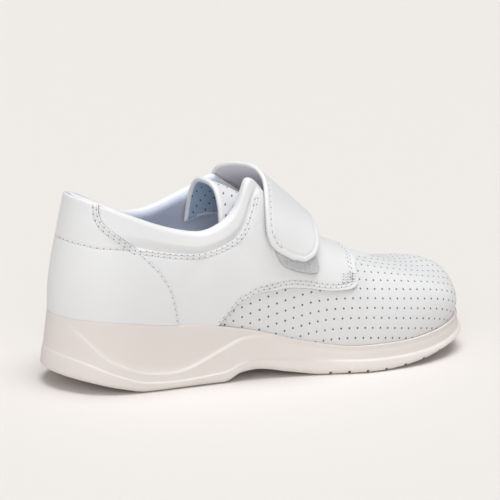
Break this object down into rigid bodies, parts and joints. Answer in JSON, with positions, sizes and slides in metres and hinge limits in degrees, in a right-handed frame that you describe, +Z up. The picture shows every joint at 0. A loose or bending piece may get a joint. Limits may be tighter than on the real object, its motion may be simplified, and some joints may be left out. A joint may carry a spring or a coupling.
{
  "type": "medical shoe",
  "caption": "Low white work shoe for the right foot with a padded collar, perforated vamp, hook-and-loop strap and thick wedge sole.",
  "frame": {"origin": "bottom centre of the shoe's bounding box, on the floor it stands on", "axes": "+Y towards the toe, +X towards the outer side of the foot, +Z up"},
  "size_m": [0.094, 0.2698, 0.1155],
  "materials": {
    "sole": "satin moulded polyurethane",
    "lining": "matte",
    "perforated_leather": "satin",
    "smooth_leather": "satin",
    "hook_and_loop": "matte"
  },
  "bodies": {
    "root": {"sole": "sole", "insole": "lining", "upper": "perforated_leather", "quarter": "smooth_leather", "heel_counter": "smooth_leather", "tongue": "perforated_leather", "closure_patch": "hook_and_loop", "strap": "smooth_leather"}
  },
  "joints": []
}
